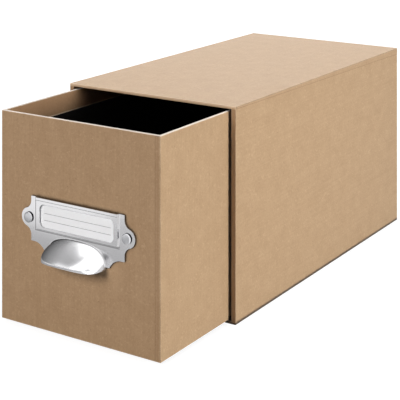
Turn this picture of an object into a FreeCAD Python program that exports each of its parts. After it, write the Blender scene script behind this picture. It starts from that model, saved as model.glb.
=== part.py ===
import FreeCAD, Part
import math
import os

# A slide box for disc cases: a paper-covered board sleeve with a deep drawer in it.
# Millimetres. +X is right, -Y is the front, +Z is up. The origin is the middle of the
# sleeve's underside. The drawer stands partly open, which is its rest place.

# Sleeve, called the case
case_width = 150.0
case_height = 154.5
case_depth = 280.0

# Sheet stock
board = 1.5            # grey board of every wall
cover = 0.25           # kraft paper on the outside
lining = 0.2           # black paper on the inside
fold_radius = 0.5      # how sharply the kraft paper folds over a board edge

# Paper laps and folds
turn_in = 15.0         # kraft paper folded inwards at the case mouth and at the drawer rim
back_flap = 18.0       # kraft paper folded onto the back of the case
under_flap = 16.0      # kraft paper folded under the drawer
sheet_margin = 2.0     # how far a pasted end sheet stops short of the edge
case_lap_front = 1.4   # lap of the cover below the top right edge, at the mouth
case_lap_back = 5.2    # the same lap at the back: the sheet was cut a little out of square
drawer_lap = 4.3       # lap of the drawer's cover, round the right front corner

# Drawer and how it fits the case
side_clearance = 2.5
top_clearance = 1.8
floor_clearance = 0.3
back_clearance = 0.8
pulled_out = 84.3      # how far the drawer stands out of the case at rest

# Pressed steel label holder with a cup pull below it
holder_height = 76.9   # height of the rivets above the drawer's underside
plate_thickness = 1.0
plate_above = 15.3     # from the rivets up to the plate's top edge
ear_rim = 2.9          # steel round each rivet's head
scallop_radius = 6.0
shoulder = 2.6         # flat step at each shoulder
foot_border = 3.5      # steel each side of the cup at the plate's lower edge
foot_drop = 6.4        # from the shoulders down to the plate's lower edge
foot_above_skirt = 0.3 # the plate ends this far above the upright part of the cup
frame_width = 73.0
frame_border = 4.0     # flat steel each side of the frame
frame_below = 7.9      # from the rivets down to the bottom of the raised frame
frame_rise = 1.2       # how far the frame is pressed out of the plate
frame_draft = 1.1      # slope of the frame's sides, across
frame_corner = 1.6
lip_height = 1.7       # flared lip where the card goes in
lip_flare = 0.5
window_side = 3.15     # face of the frame beside, below and above its window
window_below = 1.8
window_above = 1.9
window_corner = 4.2
cup_gap = 1.8          # flat steel between the frame and the cup
cup_width = 48.6
cup_rise = 13.0
cup_depth = 16.2
cup_skirt = 1.4        # upright part of the cup below its dome
cup_squareness = 4.2   # of its rim seen from above: 2 is a plain ellipse, more is boxier
cup_fullness = 2.6     # of its front view, in the same way
cup_slope = 1.5        # of its section from the plate out: 1 is a straight slope, 2 an ellipse
bend_radius = 1.2      # fold between plate and cup

# Rivets
rivet_gap = 2.4        # flat steel between the frame and each rivet's head
shank_diameter = 3.0
hole_clearance = 0.1
head_diameter = 7.4
head_height = 1.3
head_rim = 0.6         # upright rim under the domed top
washer_diameter = 8.0
washer_thickness = 0.5
tail_diameter = 4.8
tail_height = 0.8
tail_chamfer = 0.4

# Label card
card_thickness = 0.4
card_side_play = 0.5
card_seat = 0.3
card_below_lip = 1.3

# Lines that several pieces share
side_plies = 2
side_wall = side_plies * board
case_left = -case_width / 2
case_right = case_width / 2
case_front = -case_depth / 2
case_back = case_depth / 2
mouth_half = case_width / 2 - cover - side_wall
ceiling = case_height - cover - board
case_floor = cover + board
back_board_rear = case_back - cover * 2
back_board_front = back_board_rear - board

drawer_half = mouth_half - cover - side_clearance
drawer_bottom = case_floor + cover + floor_clearance
drawer_top = ceiling - cover - top_clearance
drawer_length = back_board_front - lining - back_clearance - case_front
drawer_front = case_front - pulled_out
drawer_back = drawer_front + drawer_length
drawer_floor = drawer_bottom + cover * 2 + board
inside_half = drawer_half - cover - board
inside_front = drawer_front + cover + board
inside_back = drawer_back - cover - board

holder_z = drawer_bottom + holder_height
rivet_x = frame_width / 2 + rivet_gap + head_diameter / 2
frame_face = plate_thickness + frame_rise
cup_base = -frame_below - cup_gap - cup_rise
cup_rim = cup_base - cup_skirt
far = case_depth       # longer than any cut needs to be
close = 0.05           # places and directions that differ by less count as the same
ellipse = 2            # squareness of a plain ellipse


def block(x0, y0, z0, x1, y1, z1):
    """Plain box between two corners."""
    corner = FreeCAD.Vector(x0, y0, z0)
    return Part.makeBox(x1 - x0, y1 - y0, z1 - z0, corner)


def runs_along(edge, direction):
    return edge.tangentAt(0).cross(direction).Length < close


def folded_block(x0, y0, z0, x1, y1, z1, length):
    """Box as paper folds round it: rounded edges along its length, and a bevel round each end."""
    solid = block(x0, y0, z0, x1, y1, z1)
    along = [edge for edge in solid.Edges if runs_along(edge, length)]
    solid = solid.makeFillet(fold_radius, along)
    ends = [edge for edge in solid.Edges if not runs_along(edge, length)]
    return solid.makeChamfer(fold_radius / 2, ends)


def at_front(x, out, up):
    """Point on the label holder: across, out from the drawer front, up from the rivets."""
    return FreeCAD.Vector(x, drawer_front - out, holder_z + up)


def save(name, shape):
    shape.exportStep(os.path.join("parts", name + ".step"))


# Boards of the case

def case_boards():
    skin_half = case_width / 2 - cover
    outer_half = skin_half - board
    front = case_front + cover
    top = case_height - cover
    walls = {}
    for side, sign in (("left", -1), ("right", 1)):
        low_x, high_x = sorted((sign * outer_half, sign * skin_half))
        walls["case_" + side + "_outer_board"] = block(
            low_x, front, cover, high_x, back_board_front, top)
        low_x, high_x = sorted((sign * mouth_half, sign * outer_half))
        walls["case_" + side + "_inner_board"] = block(
            low_x, front, case_floor, high_x, back_board_front, ceiling)
    walls["case_top_board"] = block(-outer_half, front, ceiling, outer_half, back_board_front, top)
    walls["case_bottom_board"] = block(-outer_half, front, cover, outer_half, back_board_front, case_floor)
    walls["case_back_board"] = block(-skin_half, back_board_front, cover, skin_half, back_board_rear, top)
    return walls


# Papers of the case

def case_base_region():
    """Where the cover lies flat under the case, between its folds."""
    return block(
        case_left + fold_radius, case_front + fold_radius, 0,
        case_right - fold_radius, case_back - fold_radius, cover)


def case_cover_paper():
    """Kraft cover of the top and sides, folded in at the mouth and onto the back."""
    rear = case_back - cover
    skin = folded_block(case_left, case_front, 0, case_right, rear, case_height, FreeCAD.Vector(0, 1, 0))
    boards = block(
        case_left + cover, case_front + cover, cover,
        case_right - cover, back_board_rear, case_height - cover)
    fold = block(-mouth_half, case_front, case_floor, mouth_half, case_front + turn_in, ceiling)
    opening_half = mouth_half - cover
    opening = block(
        -opening_half, case_front - far, case_floor + cover,
        opening_half, case_front + turn_in + cover, ceiling - cover)
    back_window = block(
        case_left + back_flap, back_board_rear - cover, back_flap,
        case_right - back_flap, case_back + cover, case_height - back_flap)
    paper = skin.cut(boards).fuse(fold).cut(opening).cut(back_window)
    paper = paper.fuse(case_lap())
    return paper.cut(case_base_region()).removeSplitter()


def case_lap():
    """End of the cover sheet, pasted over its start just below the top right edge."""
    rear = case_back - cover - fold_radius
    front = case_front + fold_radius
    top = case_height - fold_radius
    corners = [
        FreeCAD.Vector(case_right, front, top),
        FreeCAD.Vector(case_right, rear, top),
        FreeCAD.Vector(case_right, rear, case_height - case_lap_back),
        FreeCAD.Vector(case_right, front, case_height - case_lap_front)]
    face = Part.Face(Part.makePolygon(corners + corners[:1]))
    return face.extrude(FreeCAD.Vector(cover, 0, 0))


def case_back_paper():
    """Back sheet: it lies on the folded flaps at its rim and on the board inside them."""
    rim = block(
        case_left + sheet_margin, case_back - cover, sheet_margin,
        case_right - sheet_margin, case_back, case_height - sheet_margin)
    middle = block(
        case_left + back_flap, back_board_rear, back_flap,
        case_right - back_flap, case_back - cover, case_height - back_flap)
    hollow = block(
        case_left + back_flap + cover, case_back - cover, back_flap + cover,
        case_right - back_flap - cover, case_back, case_height - back_flap - cover)
    return rim.fuse(middle).cut(hollow).removeSplitter()


def case_wall_lining():
    """Black paper on the side walls, ceiling and back."""
    front = case_front + turn_in
    outside = block(-mouth_half, front, case_floor, mouth_half, back_board_front, ceiling)
    inner_half = mouth_half - lining
    inside = block(
        -inner_half, front - lining, case_floor - lining,
        inner_half, back_board_front - lining, ceiling - lining)
    return outside.cut(inside)


def case_floor_lining():
    inner_half = mouth_half - lining
    return block(
        -inner_half, case_front + turn_in, case_floor,
        inner_half, back_board_front - lining, case_floor + lining)


# Boards of the drawer

def drawer_boards():
    skin_half = drawer_half - cover
    front = drawer_front + cover
    back = drawer_back - cover
    low = drawer_bottom + cover * 2
    top = drawer_top - cover
    boards = {}
    boards["drawer_front_board"] = block(-skin_half, front, low, skin_half, inside_front, top)
    boards["drawer_back_board"] = block(-skin_half, inside_back, low, skin_half, back, top)
    boards["drawer_left_board"] = block(-skin_half, inside_front, low, -inside_half, inside_back, top)
    boards["drawer_right_board"] = block(inside_half, inside_front, low, skin_half, inside_back, top)
    boards["drawer_bottom_board"] = block(
        -inside_half, inside_front, low, inside_half, inside_back, drawer_floor)
    boards["drawer_front_board"] = boards["drawer_front_board"].cut(rivet_holes())
    return boards


def rivet_holes():
    """The two holes that the rivets need through steel, papers and board."""
    radius = shank_diameter / 2 + hole_clearance
    length = cup_depth + turn_in
    inwards = FreeCAD.Vector(0, 1, 0)
    left = Part.makeCylinder(radius, length, at_front(-rivet_x, cup_depth, 0), inwards)
    right = Part.makeCylinder(radius, length, at_front(rivet_x, cup_depth, 0), inwards)
    return left.fuse(right)


# Papers of the drawer

def drawer_cover_paper():
    """Kraft cover round the four walls, folded in over the rim and under the bottom."""
    low = drawer_bottom + cover
    upright = FreeCAD.Vector(0, 0, 1)
    skin = folded_block(
        -drawer_half, drawer_front, low, drawer_half, drawer_back, drawer_top, upright)
    boards = block(
        -drawer_half + cover, drawer_front + cover, low + cover,
        drawer_half - cover, drawer_back - cover, drawer_top - cover)
    fold = block(
        -inside_half, inside_front, drawer_top - turn_in,
        inside_half, inside_back, drawer_top)
    opening = block(
        -inside_half + cover, inside_front + cover, drawer_top - turn_in - cover,
        inside_half - cover, inside_back - cover, drawer_top + far)
    base_window = block(
        -drawer_half + under_flap, drawer_front + under_flap, low - cover,
        drawer_half - under_flap, drawer_back - under_flap, low + cover)
    lap = block(
        drawer_half - drawer_lap, drawer_front - cover, low + fold_radius,
        drawer_half - fold_radius, drawer_front, drawer_top - fold_radius)
    paper = skin.cut(boards).fuse(fold).cut(opening).cut(base_window)
    return paper.fuse(lap).cut(rivet_holes()).removeSplitter()


def drawer_base_paper():
    """Sheet under the drawer: on the flaps at its rim and on the board inside them."""
    rim = block(
        -drawer_half + sheet_margin, drawer_front + sheet_margin, drawer_bottom,
        drawer_half - sheet_margin, drawer_back - sheet_margin, drawer_bottom + cover)
    middle = block(
        -drawer_half + under_flap, drawer_front + under_flap, drawer_bottom + cover,
        drawer_half - under_flap, drawer_back - under_flap, drawer_bottom + cover * 2)
    inset = under_flap + cover
    hollow = block(
        -drawer_half + inset, drawer_front + inset, drawer_bottom,
        drawer_half - inset, drawer_back - inset, drawer_bottom + cover)
    return rim.fuse(middle).cut(hollow).removeSplitter()


def drawer_wall_lining():
    """Black paper on the four walls, up to the folded-in kraft paper."""
    top = drawer_top - turn_in
    outside = block(-inside_half, inside_front, drawer_floor, inside_half, inside_back, top)
    inside = block(
        -inside_half + lining, inside_front + lining, drawer_floor - lining,
        inside_half - lining, inside_back - lining, top + lining)
    return outside.cut(inside).cut(rivet_holes())


def drawer_floor_lining():
    return block(
        -inside_half + lining, inside_front + lining, drawer_floor,
        inside_half - lining, inside_back - lining, drawer_floor + lining)


# Label holder

def arc(start, middle, end):
    return Part.Arc(start, middle, end).toShape()


def line(start, end):
    return Part.makeLine(start, end)


def plate_side(sign):
    """Edges of one side of the plate, from its top corner down to its foot."""
    half = frame_width / 2 + frame_border
    ear_radius = head_diameter / 2 + ear_rim
    reach = ear_radius + scallop_radius
    scallop_x = half + scallop_radius
    scallop_z = math.sqrt(reach ** 2 - (scallop_x - rivet_x) ** 2)
    tangent_x = rivet_x + (scallop_x - rivet_x) * ear_radius / reach
    tangent_z = scallop_z * ear_radius / reach
    turn = math.atan2(tangent_z - scallop_z, tangent_x - scallop_x)
    middle_turn = (turn - math.pi) / 2
    middle_x = scallop_x + scallop_radius * math.cos(middle_turn)
    middle_z = scallop_z + scallop_radius * math.sin(middle_turn)
    low = cup_base + foot_above_skirt
    shoulder_z = low + foot_drop
    step_x = half - shoulder
    foot_x = cup_width / 2 + foot_border
    foot_radius = ((step_x - foot_x) ** 2 + foot_drop ** 2) / (2 * foot_drop)
    foot_turn = math.asin((step_x - foot_x) / foot_radius) / 2
    foot_middle_x = step_x - foot_radius * math.sin(foot_turn)
    foot_middle_z = shoulder_z - foot_radius * (1 - math.cos(foot_turn))

    def point(x, up):
        return at_front(sign * x, 0, up)

    return [
        line(point(0, plate_above), point(half, plate_above)),
        line(point(half, plate_above), point(half, scallop_z)),
        arc(point(half, scallop_z), point(middle_x, middle_z), point(tangent_x, tangent_z)),
        arc(
            point(tangent_x, tangent_z), point(rivet_x + ear_radius, 0),
            point(tangent_x, -tangent_z)),
        arc(point(tangent_x, -tangent_z), point(middle_x, -middle_z), point(half, -scallop_z)),
        line(point(half, -scallop_z), point(half, shoulder_z)),
        line(point(half, shoulder_z), point(step_x, shoulder_z)),
        arc(point(step_x, shoulder_z), point(foot_middle_x, foot_middle_z), point(foot_x, low)),
        line(point(foot_x, low), point(0, low))]


def plate_blank():
    """Flat plate with scalloped shoulders and round ears."""
    outline = Part.Wire(Part.__sortEdges__(plate_side(1) + plate_side(-1)))
    return Part.Face(outline).extrude(FreeCAD.Vector(0, -plate_thickness, 0)).removeSplitter()


def rounded_rectangle(half, low, high, radius, out):
    """Upright rectangle with round corners, at a distance out from the drawer front."""
    inner_half = half - radius
    corners = [
        at_front(-inner_half, out, low + radius),
        at_front(inner_half, out, low + radius),
        at_front(inner_half, out, high - radius),
        at_front(-inner_half, out, high - radius)]
    rectangle = Part.makePolygon(corners + corners[:1])
    return rectangle.makeOffset2D(radius)


def frame_form(half, low, out, rise):
    """Tapered block: the raised frame, or the pocket inside it. It runs off the top edge."""
    high = plate_above + 2 * frame_corner
    base = rounded_rectangle(half, low, high, frame_corner, out)
    face = rounded_rectangle(half - frame_draft, low + frame_draft, high, frame_corner, out + rise)
    return Part.makeLoft([base, face], True)


def raised_frame():
    """Frame pressed out of the plate, with a flared lip along its top edge."""
    half = frame_width / 2
    flat_half = half - frame_draft
    frame = frame_form(half, -frame_below, 0, frame_face)
    lip_profile = [
        at_front(-flat_half, frame_face, plate_above - lip_height - lip_flare),
        at_front(-flat_half, frame_face + lip_flare, plate_above - lip_height),
        at_front(-flat_half, frame_face + lip_flare, plate_above),
        at_front(-flat_half, frame_face, plate_above)]
    lip_face = Part.Face(Part.makePolygon(lip_profile + lip_profile[:1]))
    lip = lip_face.extrude(FreeCAD.Vector(2 * flat_half, 0, 0))
    above = block(
        -frame_width, drawer_front - far, holder_z + plate_above,
        frame_width, drawer_front + far, holder_z + plate_above + far)
    return frame.cut(above).fuse(lip)


def frame_window():
    """Opening in the face of the frame, through which the card shows."""
    half = frame_width / 2 - frame_draft - window_side
    low = -frame_below + frame_draft + window_below
    high = plate_above - lip_height - lip_flare - window_above
    outline = rounded_rectangle(half, low, high, window_corner, -far)
    return Part.Face(outline).extrude(FreeCAD.Vector(0, -2 * far, 0))


def dome_share(lean):
    """Share of the dome's rise at this angle up it, which goes from 0 at its base to 90."""
    return math.sin(math.radians(lean)) ** (ellipse / cup_fullness)


def cup_points(inset, lean, up):
    """Points round a level slice of the cup: boxy at its rim, and a plain ellipse at the top."""
    spans = 12
    upright = math.cos(math.radians(lean))
    half = (cup_width / 2 - inset) * upright ** (ellipse / cup_fullness)
    depth = (cup_depth - inset) * (1 - dome_share(lean) ** cup_slope) ** (1 / cup_slope)
    power = ellipse / (ellipse + (cup_squareness - ellipse) * upright ** 2)
    points = []
    for step in range(1, spans):
        turn = math.pi * step / spans
        across = math.copysign(abs(math.cos(turn)) ** power, math.cos(turn))
        points.append(at_front(half * across, depth * math.sin(turn) ** power, up))
    return [at_front(half, 0, up)] + points + [at_front(-half, 0, up)]


def dome_level(inset, lean):
    """Height of the slice at this angle up the dome."""
    return cup_base + (cup_rise - inset) * dome_share(lean)


def cup_outside():
    """Smooth quarter dome over an upright skirt."""

    def outline(lean, up):
        points = cup_points(0, lean, up)
        curve = Part.BSplineCurve()
        curve.interpolate(points)
        return Part.Wire([curve.toShape(), line(points[-1], points[0])])

    slices = [outline(lean, dome_level(0, lean)) for lean in range(0, 90, 18)]
    top = Part.Vertex(at_front(0, 0, cup_base + cup_rise))
    dome = Part.makeLoft(slices + [top], True)
    skirt = Part.makeLoft([outline(0, cup_rim), outline(0, cup_base)], True, True)
    return dome.fuse(skirt)


def cup_inside():
    """Hollow of the cup, one sheet thickness in, in flat facets and open below."""
    inset = plate_thickness

    def outline(lean, up):
        points = cup_points(inset, lean, up)
        return Part.makePolygon(points + points[:1])

    slices = [outline(lean, dome_level(inset, lean)) for lean in range(0, 90, 25)]
    return Part.makeLoft([outline(0, cup_rim - inset)] + slices, True, True)


def plate_with_cup():
    """Plate with the cup standing out of it, and the fold over the cup rounded."""
    body = plate_blank().fuse(cup_outside()).removeSplitter()
    plate_face = at_front(0, plate_thickness, 0).y
    fold = []
    for edge in body.Edges:
        box = edge.BoundBox
        on_face = abs(box.YMin - plate_face) < close and abs(box.YMax - plate_face) < close
        over_cup = cup_width / 2 < box.XLength < cup_width + foot_border
        if on_face and over_cup and box.ZLength > cup_rise / 2:
            fold.append(edge)
    return body.makeFillet(bend_radius, fold)


def label_holder():
    """One steel pressing: plate, raised card frame with its window, and cup pull."""
    pocket = frame_form(
        frame_width / 2 - plate_thickness, -frame_below + plate_thickness, 0, frame_rise)
    body = plate_with_cup().fuse(raised_frame())
    for hollow in (pocket, frame_window(), cup_inside(), rivet_holes()):
        body = body.cut(hollow)
    return body.removeSplitter()


# Rivets

def rivet(x):
    """Domed rivet through steel, papers and board, its tail spread over a washer."""
    outwards = FreeCAD.Vector(0, -1, 0)
    head_radius = head_diameter / 2
    dome_height = head_height - head_rim
    dome_radius = (head_radius ** 2 + dome_height ** 2) / (2 * dome_height)
    centre = at_front(x, plate_thickness + head_height - dome_radius, 0)
    disc = Part.makeCylinder(head_radius, head_height, at_front(x, plate_thickness, 0), outwards)
    head = disc.common(Part.makeSphere(dome_radius, centre))
    tail_end = drawer_front - inside_front - lining - washer_thickness - tail_height
    length = plate_thickness - tail_end
    shank = Part.makeCylinder(shank_diameter / 2, length, at_front(x, tail_end, 0), outwards)
    tail = Part.makeCylinder(tail_diameter / 2, tail_height, at_front(x, tail_end, 0), outwards)
    rim = [edge for edge in tail.Edges if edge.CenterOfMass.isEqual(at_front(x, tail_end, 0), close)]
    tail = tail.makeChamfer(tail_chamfer, rim)
    return head.fuse(shank).fuse(tail).removeSplitter()


def washer(x):
    outwards = FreeCAD.Vector(0, -1, 0)
    out = drawer_front - inside_front - lining - washer_thickness
    disc = Part.makeCylinder(washer_diameter / 2, washer_thickness, at_front(x, out, 0), outwards)
    return disc.cut(rivet_holes())


def label_card():
    """Blank card standing in the pocket between the frame and the drawer front."""
    half = frame_width / 2 - plate_thickness - frame_draft - card_side_play
    low = -frame_below + plate_thickness + frame_draft + card_seat
    high = plate_above - card_below_lip
    corner = at_front(-half, card_seat + card_thickness, low)
    return Part.makeBox(2 * half, card_thickness, high - low, corner)


os.makedirs("parts", exist_ok=True)

for name, shape in list(case_boards().items()) + list(drawer_boards().items()):
    save(name, shape)

save("case_cover_paper", case_cover_paper())
save("case_base_paper", case_base_region())
save("case_back_paper", case_back_paper())
save("case_wall_lining", case_wall_lining())
save("case_floor_lining", case_floor_lining())

save("drawer_cover_paper", drawer_cover_paper())
save("drawer_base_paper", drawer_base_paper())
save("drawer_wall_lining", drawer_wall_lining())
save("drawer_floor_lining", drawer_floor_lining())

save("label_holder", label_holder())
save("left_rivet", rivet(-rivet_x))
save("right_rivet", rivet(rivet_x))
save("left_rivet_washer", washer(-rivet_x))
save("right_rivet_washer", washer(rivet_x))
save("label_card", label_card())
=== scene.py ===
import math
import bpy
from mathutils import Matrix, Vector


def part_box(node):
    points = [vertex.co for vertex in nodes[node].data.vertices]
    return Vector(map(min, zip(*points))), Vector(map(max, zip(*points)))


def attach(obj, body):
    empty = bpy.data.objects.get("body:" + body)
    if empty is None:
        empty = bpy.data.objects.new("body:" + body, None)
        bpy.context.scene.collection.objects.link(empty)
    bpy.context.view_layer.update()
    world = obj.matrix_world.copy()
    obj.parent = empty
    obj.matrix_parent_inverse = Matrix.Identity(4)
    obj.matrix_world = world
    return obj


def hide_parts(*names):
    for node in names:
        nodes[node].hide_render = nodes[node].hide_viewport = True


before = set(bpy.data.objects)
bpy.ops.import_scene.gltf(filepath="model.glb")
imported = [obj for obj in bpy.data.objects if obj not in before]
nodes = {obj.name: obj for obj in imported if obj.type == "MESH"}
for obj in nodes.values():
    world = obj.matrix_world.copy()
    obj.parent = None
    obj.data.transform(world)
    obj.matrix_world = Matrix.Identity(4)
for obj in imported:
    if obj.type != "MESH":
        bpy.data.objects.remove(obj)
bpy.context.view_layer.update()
mm = 0.001
print("frame: %d CAD nodes" % len(nodes))


# Helpers

def linear(hexColour):
    channels = [int(hexColour[i:i + 2], 16) / 255 for i in (1, 3, 5)]
    return [c / 12.92 if c <= 0.04045 else ((c + 0.055) / 1.055) ** 2.4 for c in channels] + [1]


def addNode(tree, kind, inputs, **settings):
    node = tree.nodes.new("ShaderNode" + kind)
    for name, value in settings.items():
        setattr(node, name, value)
    for name, value in inputs.items():
        if isinstance(value, bpy.types.Node):    # a node stands for its first output that is in use
            value = next(output for output in value.outputs if output.enabled)
        if isinstance(value, bpy.types.NodeSocket):
            tree.links.new(value, node.inputs[name])
        else:
            node.inputs[name].default_value = value
    return node


def newMaterial(name):
    material = bpy.data.materials.new(name)
    material.use_nodes = True
    material.node_tree.nodes.clear()
    return material, material.node_tree


def paint(names, material):
    for name in names:
        node = nodes[name]
        node.data.materials.clear()
        node.data.materials.append(material)


def newPiece(name, points, faces, material):
    mesh = bpy.data.meshes.new(name)
    mesh.from_pydata(points, [], faces)
    mesh.materials.append(material)
    piece = bpy.data.objects.new(name, mesh)
    bpy.context.scene.collection.objects.link(piece)
    return piece


def inMillimetres(tree, stretch=(1, 1, 1)):
    place = addNode(tree, "TexCoord", {}).outputs["Object"]
    return addNode(tree, "Mapping", {"Vector": place, "Scale": [1 / mm / s for s in stretch]})


# Camera: the photograph has no vertical vanishing point, so its picture plane stands upright

camera = {
    "place": (0.5229, -0.8774, 0.3495),
    "azimuth": 32.95,          # degrees round from straight in front
    "focalLength": 1219.4,     # in pixels of a 400 pixel frame
    "horizon": 368.8,          # pixels from the frame's centre up to eye level
    "frameSize": 400,
    "sensor": 36,              # mm
    "clip": (0.05, 20),
}


def makeCamera(c):
    azimuth = math.radians(c["azimuth"])
    droop = math.atan2(c["horizon"], c["focalLength"])
    right = Vector((math.cos(azimuth), math.sin(azimuth), 0))
    up = Vector((0, 0, 1))
    back = Vector((math.sin(azimuth), -math.cos(azimuth), 0))
    axis = back * math.cos(droop) + up * math.sin(droop)
    # the view's up and back lean together, which a stretched parent gives to the camera below it
    wide = math.sqrt(1 + math.sin(droop))
    narrow = math.sqrt(1 - math.sin(droop))
    across = (up - axis) / (math.sqrt(2) * narrow)
    along = (up + axis) / (math.sqrt(2) * wide)
    stand = bpy.data.objects.new("cameraStand", None)
    bpy.context.scene.collection.objects.link(stand)
    turned = Matrix((right, across, along)).transposed().to_4x4()
    stand.matrix_world = Matrix.Translation(c["place"]) @ turned @ Matrix.Diagonal((1, narrow, wide, 1))
    data = bpy.data.cameras.new("camera")
    data.sensor_width = c["sensor"]
    data.lens = c["focalLength"] / math.cos(droop) * c["sensor"] / c["frameSize"]
    data.clip_start, data.clip_end = c["clip"]
    view = bpy.data.objects.new("camera", data)
    bpy.context.scene.collection.objects.link(view)
    view.parent = stand
    view.rotation_euler = (math.radians(45), 0, 0)    # halfway between the two stretched directions
    bpy.context.scene.camera = view


makeCamera(camera)
print("camera: done")


# Studio: a white table and surroundings, soft boxes, and cards that only the steel mirrors

studio = {
    "floorSize": 6.0,
    "floorColour": "#7f7f7f",
    "floorGlow": (0.9, 1.0),   # makes the floor white where it is seen or mirrored, near and far
    "floorFade": (0.5, 1.6),   # m from the origin, where the near glow ends and the far one starts
    "white": "#ffffff",
    "worldStrength": 0.012,
    "aim": (0, -0.1, 0.08),
    "lamps": {
        "sideSoftBox": {"place": (1.25, -0.12, 0.18), "size": (0.3, 0.3), "power": 14.7, "colour": "#ffffff"},
        "topSoftBox": {"place": (0, 0.24, 1.3), "size": (1.4, 0.95), "power": 14.05, "colour": "#ffffff"},
        "frontSoftBox": {"place": (-0.75, -3.9, 2.05), "size": (1.7, 1.7), "power": 139, "colour": "#fff9f7"},
        "backSoftBox": {"place": (-1.1, 1.3, 0.3), "size": (1.2, 0.8), "power": 17, "colour": "#ffffff"},
    },
    # glow at a card's middle and at its reach away from there, or the same all over
    "cards": {
        "leftCard": {
            "corners": [
                (-0.5, -0.9, 0), (-0.5, 0.4, 0), (-0.5, 0.3, 0.82), (-0.5, -0.4, 0.75), (-0.5, -0.78, 0.6)],
            "middle": (-0.5, -0.1, 0.15), "reach": (1, 0.8, 0.7), "glow": (0.1, 0.82)},
        "leftTableCard": {
            "corners": [(-0.05, -0.26, 0.001), (-0.05, -0.5, 0.001), (-1, -1.4, 0.001), (-1, 0.9, 0.001)],
            "middle": (-0.6, 0.1, 0), "reach": (1.5, 0.55, 1), "glow": (0.1, 0.9)},
        "plateCard": {
            "corners": [
                (-0.14, -0.4, 0.002), (-0.14, -0.56, 0.002), (-0.45, -0.75, 0.002), (-0.3, -0.4, 0.002)],
            "glow": (1.55, 1.55)},
        "frontTableCard": {
            "corners": [(0.02, -0.3, 0.001), (0.7, -0.26, 0.001), (0.7, -1.25, 0.001), (-0.4, -1.25, 0.001)],
            "middle": (0, -1.3, 0), "reach": (0.35, 0.45, 1), "glow": (0.8, 2.6)},
        "frontCard": {
            "corners": [(-0.79, -1.3, 0.02), (1.4, -1.3, 0.02), (1.4, -1.3, 1.5), (-0.79, -1.3, 1.5)],
            "middle": (0, -1.3, 0.05), "reach": (0.35, 1, 0.3), "glow": (0.8, 2.6)},
        "rightCard": {
            "corners": [(1.35, -1.3, 0.02), (1.35, 1.2, 0.02), (1.35, 1.2, 1.5), (1.35, -1.3, 1.5)],
            "glow": (2.6, 2.6)},
        "topCard": {
            "corners": [(-1.1, -1.3, 1.5), (1.4, -1.3, 1.5), (1.4, 1.2, 1.5), (-1.1, 1.2, 1.5)],
            "glow": (2.6, 2.6)},
    },
}


def makeLamps(lamps, aim):
    for name, lamp in lamps.items():
        data = bpy.data.lights.new(name, "AREA")
        data.shape = "RECTANGLE"
        data.size, data.size_y = lamp["size"]
        data.energy = lamp["power"]
        data.color = linear(lamp["colour"])[:3]
        item = bpy.data.objects.new(name, data)
        bpy.context.scene.collection.objects.link(item)
        item.location = lamp["place"]
        item.rotation_euler = (Vector(aim) - item.location).to_track_quat("-Z", "Y").to_euler()
        item.visible_glossy = False    # the steel mirrors the cards instead


def seenDirectly(tree):
    path = addNode(tree, "LightPath", {})
    eye, mirror, glass = (path.outputs["Is %s Ray" % ray] for ray in ("Camera", "Glossy", "Transmission"))
    either = addNode(tree, "Math", {0: eye, 1: mirror}, operation="MAXIMUM")
    return addNode(tree, "Math", {0: either, 1: glass}, operation="MAXIMUM")


def makeWorld(s):
    world = bpy.data.worlds.new("studio")
    world.use_nodes = True
    tree = world.node_tree
    tree.nodes.clear()
    light = addNode(tree, "Background", {"Color": linear(s["white"]), "Strength": s["worldStrength"]})
    seen = addNode(tree, "Background", {"Color": linear(s["white"]), "Strength": 1.0})
    either = addNode(tree, "MixShader", {0: seenDirectly(tree), 1: light, 2: seen})
    addNode(tree, "OutputWorld", {"Surface": either})
    bpy.context.scene.world = world


def makeFloor(s):
    material, tree = newMaterial("paintedTable")
    shaded = addNode(tree, "BsdfDiffuse", {"Color": linear(s["floorColour"])})
    place = addNode(tree, "TexCoord", {}).outputs["Object"]
    away = addNode(tree, "VectorMath", {0: place}, operation="LENGTH")
    glow = addNode(tree, "MapRange", {
        "Value": away, "From Min": s["floorFade"][0], "From Max": s["floorFade"][1],
        "To Min": s["floorGlow"][0], "To Max": s["floorGlow"][1]})
    added = addNode(tree, "Emission", {"Color": linear(s["white"]), "Strength": glow})
    lit = addNode(tree, "AddShader", {0: shaded, 1: added})
    either = addNode(tree, "MixShader", {0: seenDirectly(tree), 1: shaded, 2: lit})
    addNode(tree, "OutputMaterial", {"Surface": either})
    half = s["floorSize"] / 2
    corners = [(-half, -half, 0), (half, -half, 0), (half, half, 0), (-half, half, 0)]
    newPiece("floor", corners, [(0, 1, 2, 3)], material)


def makeCards(cards):
    for name, card in cards.items():
        material, tree = newMaterial(name)
        place = addNode(tree, "TexCoord", {}).outputs["Object"]
        off = addNode(tree, "VectorMath", {0: place, 1: card.get("middle", (0, 0, 0))}, operation="SUBTRACT")
        share = addNode(tree, "VectorMath", {0: off, 1: card.get("reach", (1, 1, 1))}, operation="DIVIDE")
        square = addNode(tree, "VectorMath", {0: share, 1: share}, operation="DOT_PRODUCT")
        near, far = card["glow"]
        glow = addNode(tree, "MapRange", {"Value": square, "To Min": near, "To Max": far})
        addNode(tree, "OutputMaterial", {"Surface": addNode(tree, "Emission", {"Strength": glow})})
        piece = newPiece(name, card["corners"], [tuple(range(len(card["corners"])))], material)
        piece.visible_camera = False
        piece.visible_diffuse = False
        piece.visible_shadow = False


makeWorld(studio)
makeFloor(studio)
makeLamps(studio["lamps"], studio["aim"])
makeCards(studio["cards"])
bpy.context.scene.view_settings.view_transform = "Standard"
print("studio: done")


# Kraft paper: unbleached pulp, calendered dull. The eye gets a fine mottle, short fibres and a few
# dark bark specks, with paler folds that are partly rubbed wear and partly painted highlight. Real
# fibres are 0.03 mm thick and are drawn coarser.

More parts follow.
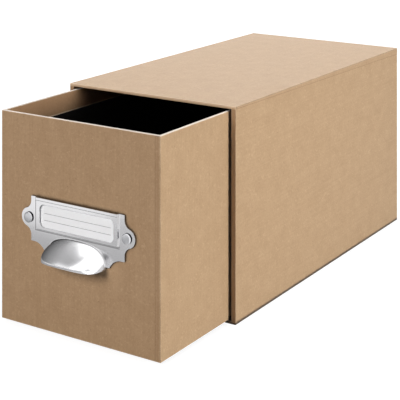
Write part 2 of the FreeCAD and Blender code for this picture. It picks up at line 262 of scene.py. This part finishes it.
kraftPaper = {
    "thinPulp": "#9d7e5b",
    "thickPulp": "#bc9e7b",
    "pulpBase": -0.425,        # share of thick pulp before the three patterns add their shares
    "cloud": 11.0,             # mm
    "cloudShare": 0.5,
    "mottle": 1.3,             # mm
    "mottleShare": 0.95,
    "streakWidth": 1.3,        # mm
    "streakLength": 40.0,      # mm
    "streakShare": 0.4,
    "paleFibre": "#dcbf9d",
    "paleFibreShare": 0.2,
    "darkFibre": "#8d6947",
    "darkFibreShare": 0.22,
    "fibreLoop": 3.4,          # mm, how far a fibre runs before it turns
    "fibreWidth": 0.035,       # of the noise's range, which comes to about 0.25 mm
    "fibreEnds": (0.52, 0.6),  # of the second noise's range
    "bark": "#6b4a30",
    "barkSpacing": 9.0,        # mm
    "barkSize": (0.45, 0.27),  # mm, radius of a speck and of its dark core
    "barkShare": 0.5,
    # pale edges: rubbed wear and cut edges, and painted highlight on the folds and the mouth's upper edge
    "paleEdgeAndHighlight": "#dfc6a8",
    "paleFoldWidth": (0.9, 0.1),  # mm from a fold, where it starts and is full
    "paleFoldShare": 0.45,
    "paleFoldPatches": (0.2, 0.6),  # of the cloud's range
    # painted highlight on the drawer's rim, which faces up to the top lamp
    "rimHighlight": "#edeae5",
    "lap": "#7b5839",          # glue and painted shade along the edge of a lap, and painted shade on the sides of the case's mouth
    "turnInShade": "#b27c4c",       # painted shade: the flap turned in over the drawer's rim is darker and redder inside the drawer
    "dust": "#33230f",         # painted shade in corners and beside the label holder
    "dustReach": 3.0,          # mm
    "dustLean": (-0.6, 0, -0.3),  # the painted shade lies mostly right of and above what stands on the paper
    "dustOpen": (0.8, 0.5),    # how open a corner is where the painted shade starts and where it is darkest
    "dustShare": 0.95,
    "roughness": 0.68,
    "specular": 0.15,
    "sheen": 0.28,
    "sheenRoughness": 0.5,
    "relief": 0.03,            # mm
    "reliefStrength": 0.5,
}


def toFolds(tree, low, high):
    # on a box-shaped sheet the middle one of the distances to its planes is the distance to a fold
    place = inMillimetres(tree)
    off = addNode(tree, "VectorMath", {0: place, 1: (low + high) / 2 / mm}, operation="SUBTRACT")
    out = addNode(tree, "VectorMath", {0: off}, operation="ABSOLUTE")
    left = addNode(tree, "VectorMath", {0: out, 1: (high - low) / 2 / mm}, operation="SUBTRACT")
    gap = addNode(tree, "VectorMath", {0: left}, operation="ABSOLUTE")
    x, y, z = addNode(tree, "SeparateXYZ", {0: gap}).outputs
    least = addNode(tree, "Math", {0: x, 1: y}, operation="MINIMUM")
    most = addNode(tree, "Math", {0: x, 1: y}, operation="MAXIMUM")
    other = addNode(tree, "Math", {0: most, 1: z}, operation="MINIMUM")
    return addNode(tree, "Math", {0: least, 1: other}, operation="MAXIMUM")


def fibres(tree, place, k, seed, share):
    # a noise crosses its middle value, 0.5, along thin lines, and a second noise cuts them into lengths
    lines = addNode(tree, "TexNoise", {
        "Vector": place, "W": seed, "Scale": 1 / k["fibreLoop"], "Detail": 1.0, "Distortion": 0.5},
        noise_dimensions="4D")
    parts = addNode(tree, "TexNoise", {
        "Vector": place, "W": seed + 5, "Scale": 2 / k["fibreLoop"], "Detail": 0.0}, noise_dimensions="4D")
    off = addNode(tree, "Math", {0: lines, 1: 0.5}, operation="SUBTRACT")
    far = addNode(tree, "Math", {0: off}, operation="ABSOLUTE")
    thin = addNode(tree, "MapRange", {
        "Value": far, "From Min": k["fibreWidth"], "From Max": k["fibreWidth"] / 4, "To Max": share})
    start, end = k["fibreEnds"]
    kept = addNode(tree, "MapRange", {"Value": parts, "From Min": start, "From Max": end})
    return addNode(tree, "Math", {0: thin, 1: kept}, operation="MULTIPLY")


def pulpColour(tree, k, place, grainAxis, cloud, mottle):
    stretch = [k["streakLength"] if axis == grainAxis else k["streakWidth"] for axis in "XYZ"]
    streak = addNode(tree, "TexNoise", {
        "Vector": inMillimetres(tree, stretch), "Scale": 1.0, "Detail": 2.0, "Roughness": 0.6})
    pulp = k["pulpBase"]
    for pattern, share in ((cloud, k["cloudShare"]), (mottle, k["mottleShare"]), (streak, k["streakShare"])):
        pulp = addNode(tree, "Math", {0: pattern, 1: share, 2: pulp}, operation="MULTIPLY_ADD")
    colour = addNode(tree, "Mix", {
        0: pulp, 6: linear(k["thinPulp"]), 7: linear(k["thickPulp"])}, data_type="RGBA")
    for seed, fibre in ((1.0, "paleFibre"), (7.0, "darkFibre")):
        share = fibres(tree, place, k, seed, k[fibre + "Share"])
        colour = addNode(tree, "Mix", {0: share, 6: colour, 7: linear(k[fibre])}, data_type="RGBA")
    specks = addNode(tree, "TexVoronoi", {"Vector": place, "Scale": 1 / k["barkSpacing"], "Randomness": 1.0})
    edge, core = k["barkSize"]
    bark = addNode(tree, "MapRange", {
        "Value": specks, "From Min": edge / k["barkSpacing"], "From Max": core / k["barkSpacing"],
        "To Max": k["barkShare"]})
    return addNode(tree, "Mix", {0: bark, 6: colour, 7: linear(k["bark"])}, data_type="RGBA")


def lightenFolds(tree, k, colour, boxes, cloud):
    # paler along every fold, in patches: partly rubbed wear, partly painted highlight where a fold catches
    # light
    edge, core = k["paleFoldWidth"]
    start, end = k["paleFoldPatches"]
    for low, high in boxes:
        paleBand = addNode(tree, "MapRange", {
            "Value": toFolds(tree, low, high), "From Min": edge, "From Max": core,
            "To Max": k["paleFoldShare"]}, interpolation_type="SMOOTHSTEP")
        patches = addNode(tree, "MapRange", {"Value": cloud, "From Min": start, "From Max": end})
        wornAndLit = addNode(tree, "Math", {0: paleBand, 1: patches}, operation="MULTIPLY")
        colour = addNode(tree, "Mix", {0: wornAndLit, 6: colour, 7: linear(k["paleEdgeAndHighlight"])}, data_type="RGBA")
    return colour


def drawMarks(tree, colour, place, marks):
    # a mark is a box in mm, whose height may fall off along Y
    axes = addNode(tree, "SeparateXYZ", {0: place})
    for mark in marks:
        share = mark["share"]
        for axis, (start, end) in mark["range"].items():
            value = axes.outputs[axis]
            if axis == "Z":
                value = addNode(tree, "Math", {
                    0: axes.outputs["Y"], 1: mark.get("fall", 0.0), 2: value}, operation="MULTIPLY_ADD")
            inside = addNode(tree, "Math", {
                0: value, 1: (start + end) / 2, 2: (end - start) / 2}, operation="COMPARE")
            share = addNode(tree, "Math", {0: inside, 1: share}, operation="MULTIPLY")
        colour = addNode(tree, "Mix", {0: share, 6: colour, 7: linear(mark["colour"])}, data_type="RGBA")
    return colour


def dustCorners(tree, k, colour):
    # painted shade from ambient occlusion, leaned so that it lies right of and above raised parts
    normal = addNode(tree, "NewGeometry", {}).outputs["Normal"]
    leaning = addNode(tree, "VectorMath", {0: normal, 1: k["dustLean"]}, operation="ADD")
    facing = addNode(tree, "VectorMath", {0: leaning}, operation="NORMALIZE")
    corners = addNode(tree, "AmbientOcclusion", {
        "Distance": k["dustReach"] * mm, "Normal": facing}, samples=8)
    start, thickest = k["dustOpen"]
    dust = addNode(tree, "MapRange", {
        "Value": corners.outputs["AO"], "From Min": start, "From Max": thickest, "To Max": k["dustShare"]})
    return addNode(tree, "Mix", {0: dust, 6: colour, 7: linear(k["dust"])}, data_type="RGBA")


def makeKraft(name, k, grainAxis, boxes, marks):
    material, tree = newMaterial(name)
    place = inMillimetres(tree)
    cloud = addNode(tree, "TexNoise", {
        "Vector": place, "Scale": 1 / k["cloud"], "Detail": 3.0, "Roughness": 0.5})
    mottle = addNode(tree, "TexNoise", {
        "Vector": place, "Scale": 1 / k["mottle"], "Detail": 4.0, "Roughness": 0.7})
    colour = pulpColour(tree, k, place, grainAxis, cloud, mottle)
    colour = lightenFolds(tree, k, colour, boxes, cloud)
    colour = drawMarks(tree, colour, place, marks)
    colour = dustCorners(tree, k, colour)
    bump = addNode(tree, "Bump", {
        "Strength": k["reliefStrength"], "Distance": k["relief"] * mm, "Height": mottle})
    shader = addNode(tree, "BsdfPrincipled", {
        "Base Color": colour, "Roughness": k["roughness"], "Specular IOR Level": k["specular"],
        "Sheen Weight": k["sheen"], "Sheen Roughness": k["sheenRoughness"], "Normal": bump})
    addNode(tree, "OutputMaterial", {"Surface": shader})
    return material


kraftSheets = {                # mm
    "caseWall": (3.5, 0, 1.75),  # from the outer paper to the inner, at the sides and at the top
    "drawerWall": (2.0, 2.0, 0),
    "outside": 1.0,            # how far a mark reaches out past the face that it lies on
    "caseLapAtMouth": 1.4,     # down from the top right edge
    "caseLapAtBack": 5.2,
    "caseLapShade": 0.5,       # high, the painted shadow below the edge of the lap
    "caseSide": 0.4,           # how far a mark reaches in from that face, as the next two
    "caseMouth": 0.3,
    "drawerFront": 0.6,
    "shadeBelowTop": 2.0,      # the sides of the mouth get painted shade up to here
    "highlightBelowTop": 1.1,     # the mouth's upper edge gets a painted highlight down to here
    "drawerLap": 4.3,          # in from the right front corner, to the edge of the lap
    "lapLine": (0.4, 0.5),     # before and after that edge
    "lapEnd": 1.3,             # from the corner, where the lap's darker strip ends
    "foldShadeLine": (2.4, 1.5),    # from the corner, where a second faint line of painted shade starts and ends
    "flap": 14.5,              # turned in over the drawer's rim
    "flapPlay": 0.5,           # past the wall's inner face, and below the rim
    "flapEnds": 1.5,           # from the drawer's front and back
    "cutEdge": (1.0, 0.4),     # below and above the flap's lower edge
    "rim": 0.2,                # down from the top, the painted highlight on the rim
}


def caseMarks(k, s, low, high):
    right, roof = high.x / mm, high.z / mm
    edge = low.y / mm
    fall = (s["caseLapAtBack"] - s["caseLapAtMouth"]) * mm / (high.y - low.y)
    lap = roof - (s["caseLapAtMouth"] + s["caseLapAtBack"]) / 2
    side = (right - s["caseSide"], right + s["outside"])
    mouth = (edge - s["outside"], edge + s["caseMouth"])
    return [
        # painted shadow below the lap's edge on the right side, then painted shade on the sides of the mouth
        {"range": {"X": side, "Z": (lap - s["caseLapShade"], lap)}, "fall": fall,
         "colour": k["lap"], "share": 0.5},
        {"range": {"Y": mouth, "Z": (0, roof - s["shadeBelowTop"])}, "colour": k["lap"], "share": 0.42},
        # painted highlight along the mouth's upper edge, as bright as the lit top
        {"range": {"Y": mouth, "Z": (roof - s["highlightBelowTop"], roof + s["outside"])},
         "colour": k["paleEdgeAndHighlight"], "share": 0.7}]


def drawerMarks(k, s, low, high):
    front, back = low.y / mm, high.y / mm
    corner, top = high.x / mm, high.z / mm
    face = (front - s["outside"], front + s["drawerFront"])
    lap = corner - s["drawerLap"]
    before, after = s["lapLine"]
    foldStart, foldEnd = s["foldShadeLine"]
    inside = corner - s["drawerWall"][0] + s["flapPlay"]
    width = (-inside, inside)
    length = (front + s["flapEnds"], back - s["flapEnds"])
    under = top - s["flap"]
    below, above = s["cutEdge"]
    return [
        # the lap's strip and edge line in glue colour with painted shade, then a painted shade line before
        # the fold
        {"range": {"X": (lap - before, corner - s["lapEnd"]), "Y": face}, "colour": k["lap"], "share": 0.12},
        {"range": {"X": (lap - before, lap + after), "Y": face}, "colour": k["lap"], "share": 0.22},
        {"range": {"X": (corner - foldStart, corner - foldEnd), "Y": face},
         "colour": k["lap"], "share": 0.12},
        # painted shade on the flap turned in over the rim
        {"range": {"X": width, "Y": length, "Z": (under, top - s["flapPlay"])},
         "colour": k["turnInShade"], "share": 0.4},
        {"range": {"X": width, "Y": length, "Z": (under - below, under + above)},
         "colour": k["paleEdgeAndHighlight"], "share": 0.8},
        # painted highlight on the rim's top
        {"range": {"Z": (top - s["rim"], top + s["outside"])}, "colour": k["rimHighlight"], "share": 0.55}]


def paintKraft(k, s):
    sheets = (
        ("case", "kraftPaperCase", "Y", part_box("case_cover_paper"), caseMarks),
        ("drawer", "kraftPaperDrawer", "Z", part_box("drawer_cover_paper"), drawerMarks))
    for part, name, grainAxis, (low, high), findMarks in sheets:
        wall = Vector(s[part + "Wall"]) * mm
        boxes = [(low, high), (low + wall, high - wall)]    # the outer folds, then the turned in ones
        material = makeKraft(name, k, grainAxis, boxes, findMarks(k, s, low, high))
        paint([n for n in nodes if n.startswith(part) and n.endswith("paper")], material)


paintKraft(kraftPaper, kraftSheets)
print("kraft paper: done")


# Black paper: dyed in the pulp and uncoated. It drinks light and shows only a little grey fibre.

blackPaper = {
    "pulp": "#080707",
    "fibre": "#1e1b19",
    "mottle": 0.8,             # mm
    "mottleShare": 0.45,
    "fibreLoop": 3.0,          # mm
    "fibreWidth": 0.03,        # of the noise's range
    "fibreEnds": (0.52, 0.6),
    "fibreShare": 0.45,
    "roughness": 0.92,
    "specular": 0.05,
    "relief": 0.02,            # mm
    "reliefStrength": 0.5,
}


def makeBlackPaper(k):
    material, tree = newMaterial("blackPaper")
    place = inMillimetres(tree)
    mottle = addNode(tree, "TexNoise", {"Vector": place, "Scale": 1 / k["mottle"], "Detail": 2.0})
    share = addNode(tree, "Math", {
        0: mottle, 1: k["mottleShare"], 2: fibres(tree, place, k, 3.0, k["fibreShare"])},
        operation="MULTIPLY_ADD")
    colour = addNode(tree, "Mix", {0: share, 6: linear(k["pulp"]), 7: linear(k["fibre"])}, data_type="RGBA")
    bump = addNode(tree, "Bump", {
        "Strength": k["reliefStrength"], "Distance": k["relief"] * mm, "Height": mottle})
    shader = addNode(tree, "BsdfPrincipled", {
        "Base Color": colour, "Roughness": k["roughness"], "Specular IOR Level": k["specular"],
        "Normal": bump})
    addNode(tree, "OutputMaterial", {"Surface": shader})
    return material


paint([n for n in nodes if n.endswith("lining")], makeBlackPaper(blackPaper))
print("black paper: done")


# Grey board: pressed from waste paper, so it is speckled with light and dark bits of old print

greyBoard = {
    "pulp": "#8b857b",
    "dark": "#5f5a53",
    "darkRange": (0.42, 0.3),  # of the noise's range, as the light one
    "light": "#b3ada2",
    "lightRange": (0.6, 0.72),
    "speck": 0.7,              # mm
    "roughness": 0.9,
    "relief": 0.04,            # mm
    "reliefStrength": 0.5,
}


def makeGreyBoard(k):
    material, tree = newMaterial("greyBoard")
    specks = addNode(tree, "TexNoise", {
        "Vector": inMillimetres(tree), "Scale": 1 / k["speck"], "Detail": 3.0, "Roughness": 0.7})
    colour = linear(k["pulp"])
    for bits in ("dark", "light"):
        start, end = k[bits + "Range"]
        share = addNode(tree, "MapRange", {"Value": specks, "From Min": start, "From Max": end})
        colour = addNode(tree, "Mix", {0: share, 6: colour, 7: linear(k[bits])}, data_type="RGBA")
    bump = addNode(tree, "Bump", {
        "Strength": k["reliefStrength"], "Distance": k["relief"] * mm, "Height": specks})
    shader = addNode(tree, "BsdfPrincipled", {
        "Base Color": colour, "Roughness": k["roughness"], "Normal": bump})
    addNode(tree, "OutputMaterial", {"Surface": shader})
    return material


paint([n for n in nodes if n.endswith("board")], makeGreyBoard(greyBoard))
print("grey board: done")


# Label holder: cold-rolled steel sheet, pressed, then barrel polished and plated to a satin finish.
# The eye gets soft mirror images, stretched a little by the rolling, and bright rounded edges. Real
# rolling lines are finer than 0.05 mm and are drawn coarser.

satinSteel = {
    "colour": "#bbbabc",
    "bright": "#c4c4c5",
    "paintedShade": "#2c2a2b",        # painted shade along the cup's fold and the frame's bends
    "rough": (0.12, 0.19),
    "grain": (9.0, 0.22, 0.22),  # mm, length along X and width of the rolling lines
    "smudge": 14.0,            # mm
    "smudgeShare": 0.6,
    "wearRange": (0.35, 0.65),  # of the noises' range
    "relief": 0.0012,          # mm
    "reliefStrength": 0.4,
    "weldDistance": 0.002,     # mm
    "edgeRadius": 0.14,        # mm
    "edgeSegments": 2,
    "edgeAngle": 38,           # degrees, the least bend that counts as an edge
    "cupHalf": 24.3,           # mm
    "cupRise": 13.0,           # mm
    "topToCupBase": 38.0,      # mm
    "fullness": 2.6,           # of the cup's outline: 2 is an ellipse, more is boxier
    "foldRange": (0.995, 1.05),  # of the cup's outline on the plate
    "foldDepth": (3.2, 2.6),   # mm out from the plate's back, where the fold's painted shade ends and is full
    "foldFade": (4, 0.7),      # mm right of the middle, from where the painted shade thins out to this share
    "foldShare": 0.85,
    "cupLean": 0.5,            # how much more the sheet faces the front where it is drawn into the fold
    "leanRange": (0.3, 0.9),   # of the way from the cup's middle to its outline
    "leanEnd": 1.1,            # of that way, past which the plate keeps its own shading
    "frameHalf": 36.5,         # mm
    "frameSlope": 1.1,         # mm
    "topToFrameBottom": 23.2,  # mm
    "frameFace": (0.8, 0.95),  # mm out from the plate's back, where the painted shade lines start and are full
    "lineWidth": 0.42,         # mm
    "lineEnd": 0.3,            # mm, before and after the frame's right side
    "lineShare": 0.6,
}


def cupRing(tree, k):
    # 0 at the cup's middle and 1 on the fold between plate and cup, which is half of a squared ellipse
    axes = addNode(tree, "SeparateXYZ", {0: inMillimetres(tree)}).outputs
    sides = addNode(tree, "Math", {0: axes["X"]}, operation="ABSOLUTE")
    across = addNode(tree, "Math", {0: sides, 1: k["cupHalf"]}, operation="DIVIDE")
    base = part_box("label_holder")[1].z / mm - k["topToCupBase"]
    above = addNode(tree, "Math", {0: axes["Z"], 1: base}, operation="SUBTRACT")
    rise = addNode(tree, "Math", {0: above, 1: 0.0}, operation="MAXIMUM")
    up = addNode(tree, "Math", {0: rise, 1: k["cupRise"]}, operation="DIVIDE")
    first = addNode(tree, "Math", {0: across, 1: k["fullness"]}, operation="POWER")
    second = addNode(tree, "Math", {0: up, 1: k["fullness"]}, operation="POWER")
    total = addNode(tree, "Math", {0: first, 1: second}, operation="ADD")
    return addNode(tree, "Math", {0: total, 1: 1 / k["fullness"]}, operation="POWER")


def cupFold(tree, k):
    # painted shade along the fold between plate and cup, thinning out towards the right
    axes = addNode(tree, "SeparateXYZ", {0: inMillimetres(tree)}).outputs
    start, end = k["foldRange"]
    wide = end - start
    off = addNode(tree, "Math", {0: cupRing(tree, k), 1: (start + end) / 2}, operation="SUBTRACT")
    far = addNode(tree, "Math", {0: off}, operation="ABSOLUTE")
    line = addNode(tree, "MapRange", {"Value": far, "From Min": wide / 2, "From Max": wide / 5})
    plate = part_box("label_holder")[1].y / mm
    outer, inner = k["foldDepth"]
    near = addNode(tree, "MapRange", {
        "Value": axes["Y"], "From Min": plate - outer, "From Max": plate - inner})
    fadeStart, faded = k["foldFade"]
    fading = addNode(tree, "MapRange", {
        "Value": axes["X"], "From Min": fadeStart, "From Max": k["cupHalf"], "To Min": 1, "To Max": faded})
    share = addNode(tree, "Math", {0: line, 1: near}, operation="MULTIPLY")
    return addNode(tree, "Math", {0: share, 1: fading}, operation="MULTIPLY")


def leanToFront(tree, k):
    ring = cupRing(tree, k)
    start, end = k["leanRange"]
    drawn = addNode(tree, "MapRange", {
        "Value": ring, "From Min": start, "From Max": end, "To Max": k["cupLean"]})
    cup = addNode(tree, "Math", {0: ring, 1: k["leanEnd"]}, operation="LESS_THAN")
    share = addNode(tree, "Math", {0: drawn, 1: cup}, operation="MULTIPLY")
    lean = addNode(tree, "VectorMath", {0: (0, -1, 0), "Scale": share}, operation="SCALE")
    normal = addNode(tree, "NewGeometry", {}).outputs["Normal"]
    leaning = addNode(tree, "VectorMath", {0: normal, 1: lean}, operation="ADD")
    return addNode(tree, "VectorMath", {0: leaning}, operation="NORMALIZE")


def frameLines(tree, k):
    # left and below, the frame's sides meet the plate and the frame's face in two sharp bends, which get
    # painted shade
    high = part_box("label_holder")[1]
    x, y, z = addNode(tree, "SeparateXYZ", {0: inMillimetres(tree)}).outputs
    across = addNode(tree, "Math", {0: -k["frameHalf"], 1: x}, operation="SUBTRACT")
    down = addNode(tree, "Math", {0: high.z / mm - k["topToFrameBottom"], 1: z}, operation="SUBTRACT")
    edge = addNode(tree, "Math", {0: across, 1: down}, operation="MAXIMUM")
    total = 0.0
    for bend in (0.0, -k["frameSlope"]):
        off = addNode(tree, "Math", {0: edge, 1: bend}, operation="SUBTRACT")
        far = addNode(tree, "Math", {0: off}, operation="ABSOLUTE")
        line = addNode(tree, "MapRange", {
            "Value": far, "From Min": k["lineWidth"], "From Max": k["lineWidth"] / 3})
        total = addNode(tree, "Math", {0: line, 1: total}, operation="MAXIMUM")
    inner, outer = k["frameFace"]
    out = addNode(tree, "MapRange", {
        "Value": y, "From Min": high.y / mm - inner, "From Max": high.y / mm - outer})
    left = addNode(tree, "MapRange", {
        "Value": x, "From Min": k["frameHalf"] + k["lineEnd"], "From Max": k["frameHalf"] - k["lineEnd"]})
    share = addNode(tree, "Math", {0: total, 1: out}, operation="MULTIPLY")
    return addNode(tree, "Math", {0: share, 1: left}, operation="MULTIPLY")


def makeSteel(name, k, creases, lean=None):
    material, tree = newMaterial(name)
    rolling = addNode(tree, "TexNoise", {
        "Vector": inMillimetres(tree, k["grain"]), "Scale": 1.0, "Detail": 2.0})
    smudge = addNode(tree, "TexNoise", {
        "Vector": inMillimetres(tree), "Scale": 1 / k["smudge"], "Detail": 3.0})
    wear = addNode(tree, "Mix", {0: k["smudgeShare"], 2: rolling, 3: smudge})
    start, end = k["wearRange"]
    roughness = addNode(tree, "MapRange", {
        "Value": wear, "From Min": start, "From Max": end, "To Min": k["rough"][0], "To Max": k["rough"][1]})
    bump = addNode(tree, "Bump", {
        "Strength": k["reliefStrength"], "Distance": k["relief"] * mm, "Height": rolling})
    if lean:
        tree.links.new(lean(tree, k).outputs[0], bump.inputs["Normal"])
    colour = addNode(tree, "Mix", {0: wear, 6: linear(k["colour"]), 7: linear(k["bright"])}, data_type="RGBA")
    # painted shade in the creases and under the rivet heads
    for crease, share in creases:
        dark = addNode(tree, "Math", {0: crease(tree, k), 1: share}, operation="MULTIPLY")
        colour = addNode(tree, "Mix", {0: dark, 6: colour, 7: linear(k["paintedShade"])}, data_type="RGBA")
    shader = addNode(tree, "BsdfPrincipled", {
        "Base Color": colour, "Metallic": 1.0, "Roughness": roughness, "Normal": bump})
    addNode(tree, "OutputMaterial", {"Surface": shader})
    return material


def roundEdges(name, k):
    node = nodes[name]
    node.modifiers.new("weld", "WELD").merge_threshold = k["weldDistance"] * mm
    bevel = node.modifiers.new("edges", "BEVEL")
    bevel.width = k["edgeRadius"] * mm
    bevel.segments = k["edgeSegments"]
    bevel.limit_method = "ANGLE"
    bevel.angle_limit = math.radians(k["edgeAngle"])
    bevel.harden_normals = True


holderCreases = [(cupFold, satinSteel["foldShare"]), (frameLines, satinSteel["lineShare"])]
holderSteel = makeSteel("satinPlatedSteel", satinSteel, holderCreases, leanToFront)
paint(["label_holder", "left_rivet_washer", "right_rivet_washer"], holderSteel)
roundEdges("label_holder", satinSteel)
print("label holder: done")


# Rivets: headed steel, plated with the holder. Flat discs, undercut where the head meets the plate.

rivets = {
    "colour": "#a2a3a6",
    "bright": "#b6b6b8",
    # painted shade under the heads
    "paintedShade": "#1d1c1d",
    "paintedShadeShare": 1.0,
    "rough": (0.18, 0.26),
    "grain": (0.8, 0.8, 0.8),  # mm
    "smudge": 5.0,             # mm
    "smudgeShare": 0.6,
    "wearRange": (0.35, 0.65),
    "relief": 0.0012,          # mm
    "reliefStrength": 0.4,
    "undercut": (1.85, 1.75),  # mm out from the drawer's front, where the painted shade starts and is full
    "shadeSide": 0.2,          # of the normal's X, before and after zero, where the painted shade starts and is full
    "tail": 3.25,              # mm, how far the tail reaches behind the drawer's front
    "segments": 48,
    "creaseAngle": 40,         # degrees
    # radius, and height out from the drawer's front, in mm
    "profile": [
        (0, -3.25), (1.9, -3.25), (2.25, -3.1), (2.4, -2.85), (2.4, -2.45), (1.5, -2.45), (1.5, 0.98),
        (2.9, 0.98), (2.9, 1.7), (3.55, 1.78), (3.7, 1.88), (3.7, 2.06), (3.62, 2.17), (3.4, 2.23),
        (2.4, 2.3), (1.2, 2.34), (0, 2.35)],
}


def underHead(tree, k):
    # painted shade in the undercut, on the head's right-hand side
    y = addNode(tree, "SeparateXYZ", {0: inMillimetres(tree)}).outputs["Y"]
    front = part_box("left_rivet")[1].y / mm - k["tail"]
    start, full = k["undercut"]
    under = addNode(tree, "MapRange", {"Value": y, "From Min": front - start, "From Max": front - full})
    normal = addNode(tree, "NewGeometry", {}).outputs["Normal"]
    facing = addNode(tree, "SeparateXYZ", {0: normal}).outputs["X"]
    right = addNode(tree, "MapRange", {
        "Value": facing, "From Min": -k["shadeSide"], "From Max": k["shadeSide"]})
    return addNode(tree, "Math", {0: under, 1: right}, operation="MULTIPLY")


def makeRivet(node, k, material):
    low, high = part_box(node)
    centre = (low + high) / 2
    front = high.y - k["tail"] * mm
    points = []
    faces = []
    count = k["segments"]
    for radius, out in k["profile"][1:-1]:
        for step in range(count):
            turn = math.tau * step / count
            points.append((centre.x + radius * mm * math.cos(turn), front - out * mm,
                           centre.z + radius * mm * math.sin(turn)))
    rings = len(k["profile"]) - 2
    for ring in range(rings - 1):
        for step in range(count):
            after = (step + 1) % count
            faces.append((ring * count + step, ring * count + after,
                          (ring + 1) * count + after, (ring + 1) * count + step))
    for ring, tip in ((0, k["profile"][0]), (rings - 1, k["profile"][-1])):
        points.append((centre.x, front - tip[1] * mm, centre.z))
        for step in range(count):
            pair = (ring * count + (step + 1) % count, ring * count + step)
            faces.append((len(points) - 1,) + (pair if ring == 0 else pair[::-1]))
    piece = newPiece(node + "_turned", points, faces, material)
    for face in piece.data.polygons:
        face.use_smooth = True
    piece.modifiers.new("creases", "EDGE_SPLIT").split_angle = math.radians(k["creaseAngle"])
    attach(piece, "drawer")
    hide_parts(node)


rivetSteel = makeSteel("headedRivetSteel", rivets, [(underHead, rivets["paintedShadeShare"])])
for side in ("left", "right"):
    makeRivet(side + "_rivet", rivets, rivetSteel)
print("rivets: done")


# Label card: bleached wood-free card, cut by guillotine. Smooth and almost white, with plain ruled lines.

labelCard = {
    "stock": "#f9fdff",
    "shade": "#f4f8fb",
    "rule": "#9c9ea3",
    "ruleWidth": 0.35,         # mm
    "rulesAbove": (5.4, 10.2),  # mm, from the card's lower edge
    "ruleInset": 5.0,          # mm, from the card's sides
    "mottle": 1.2,             # mm
    "roughness": 0.5,
    "relief": 0.01,            # mm
    "reliefStrength": 0.4,
}


def makeCard(k):
    material, tree = newMaterial("bleachedCard")
    low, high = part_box("label_card")
    place = inMillimetres(tree)
    mottle = addNode(tree, "TexNoise", {"Vector": place, "Scale": 1 / k["mottle"], "Detail": 3.0})
    colour = addNode(tree, "Mix", {0: mottle, 6: linear(k["shade"]), 7: linear(k["stock"])}, data_type="RGBA")
    axes = addNode(tree, "SeparateXYZ", {0: place}).outputs
    within = addNode(tree, "Math", {
        0: axes["X"], 1: 0.0, 2: high.x / mm - k["ruleInset"]}, operation="COMPARE")
    for above in k["rulesAbove"]:
        line = addNode(tree, "Math", {
            0: axes["Z"], 1: low.z / mm + above, 2: k["ruleWidth"] / 2}, operation="COMPARE")
        share = addNode(tree, "Math", {0: line, 1: within}, operation="MULTIPLY")
        colour = addNode(tree, "Mix", {0: share, 6: colour, 7: linear(k["rule"])}, data_type="RGBA")
    bump = addNode(tree, "Bump", {
        "Strength": k["reliefStrength"], "Distance": k["relief"] * mm, "Height": mottle})
    shader = addNode(tree, "BsdfPrincipled", {
        "Base Color": colour, "Roughness": k["roughness"], "Normal": bump})
    addNode(tree, "OutputMaterial", {"Surface": shader})
    return material


paint(["label_card"], makeCard(labelCard))
print("label card: done")
